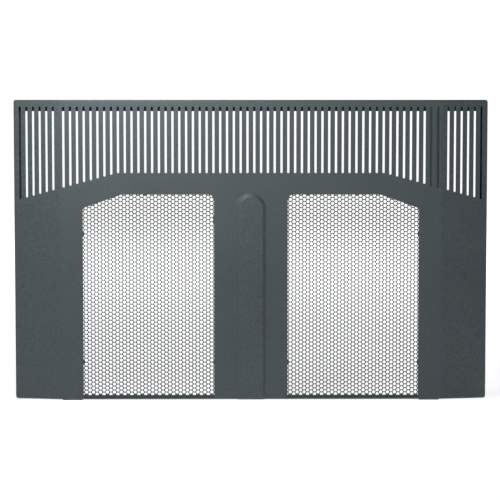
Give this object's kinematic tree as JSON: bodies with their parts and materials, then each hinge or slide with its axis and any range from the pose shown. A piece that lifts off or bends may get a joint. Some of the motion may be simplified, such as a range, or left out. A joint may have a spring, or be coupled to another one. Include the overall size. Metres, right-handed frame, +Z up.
{
  "type": "fireplace screen",
  "caption": "Folded sheet-steel fireplace screen with a slotted heat vent, perforated windows, a raised centre rib and folding rear legs.",
  "frame": {"origin": "centre of the bounding box on the floor, under the pads", "axes": "+X along the screen's width, +Y from the front face to the back, +Z up"},
  "size_m": [0.9396, 0.1774, 0.5968],
  "materials": {
    "graphite_powder_coat": "fine-textured matt powder coat",
    "coated_perforated_steel": "matt powder coat on perforated sheet",
    "zinc_plated_steel": "bright zinc plate",
    "black_rubber": "matt"
  },
  "bodies": {
    "screen": {"front_panel": "graphite_powder_coat", "left_perforated_sheet": "coated_perforated_steel", "left_upright": "graphite_powder_coat", "left_inner_clamp_strip": "graphite_powder_coat", "left_inner_nut_1": "zinc_plated_steel", "left_inner_nut_2": "zinc_plated_steel", "left_outer_clamp_strip": "graphite_powder_coat", "left_outer_nut_1": "zinc_plated_steel", "left_outer_nut_2": "zinc_plated_steel", "left_top_clamp_strip": "graphite_powder_coat", "left_top_nut_1": "zinc_plated_steel", "left_top_nut_2": "zinc_plated_steel", "left_frame_rivet_1": "zinc_plated_steel", "left_frame_rivet_2": "zinc_plated_steel", "left_frame_rivet_3": "zinc_plated_steel", "left_frame_rivet_4": "zinc_plated_steel", "left_lower_hinge_frame_leaf": "zinc_plated_steel", "left_lower_hinge_pin": "zinc_plated_steel", "left_upper_hinge_frame_leaf": "zinc_plated_steel", "left_upper_hinge_pin": "zinc_plated_steel", "left_front_pad": "black_rubber", "right_perforated_sheet": "coated_perforated_steel", "right_upright": "graphite_powder_coat", "right_inner_clamp_strip": "graphite_powder_coat", "right_inner_nut_1": "zinc_plated_steel", "right_inner_nut_2": "zinc_plated_steel", "right_outer_clamp_strip": "graphite_powder_coat", "right_outer_nut_1": "zinc_plated_steel", "right_outer_nut_2": "zinc_plated_steel", "right_top_clamp_strip": "graphite_powder_coat", "right_top_nut_1": "zinc_plated_steel", "right_top_nut_2": "zinc_plated_steel", "right_frame_rivet_1": "zinc_plated_steel", "right_frame_rivet_2": "zinc_plated_steel", "right_frame_rivet_3": "zinc_plated_steel", "right_frame_rivet_4": "zinc_plated_steel", "right_lower_hinge_frame_leaf": "zinc_plated_steel", "right_lower_hinge_pin": "zinc_plated_steel", "right_upper_hinge_frame_leaf": "zinc_plated_steel", "right_upper_hinge_pin": "zinc_plated_steel", "right_front_pad": "black_rubber"},
    "left_leg": {"left_leg_rivet_1": "zinc_plated_steel", "left_leg_rivet_2": "zinc_plated_steel", "left_leg_rivet_3": "zinc_plated_steel", "left_leg_rivet_4": "zinc_plated_steel", "left_lower_hinge_leg_leaf": "zinc_plated_steel", "left_upper_hinge_leg_leaf": "zinc_plated_steel", "left_leg": "graphite_powder_coat", "left_leg_pad": "black_rubber"},
    "right_leg": {"right_leg_rivet_1": "zinc_plated_steel", "right_leg_rivet_2": "zinc_plated_steel", "right_leg_rivet_3": "zinc_plated_steel", "right_leg_rivet_4": "zinc_plated_steel", "right_lower_hinge_leg_leaf": "zinc_plated_steel", "right_upper_hinge_leg_leaf": "zinc_plated_steel", "right_leg": "graphite_powder_coat", "right_leg_pad": "black_rubber"}
  },
  "joints": [
    {"name": "left_leg_fold", "type": "hinge", "parent": "screen", "child": "left_leg", "pos_m": [-0.37495, -0.06135, 0.2], "axis": [0, 0, 1], "range_deg": [-90, 0]},
    {"name": "right_leg_fold", "type": "hinge", "parent": "screen", "child": "right_leg", "pos_m": [0.37495, -0.06135, 0.2], "axis": [0, 0, 1], "range_deg": [0, 90]}
  ]
}
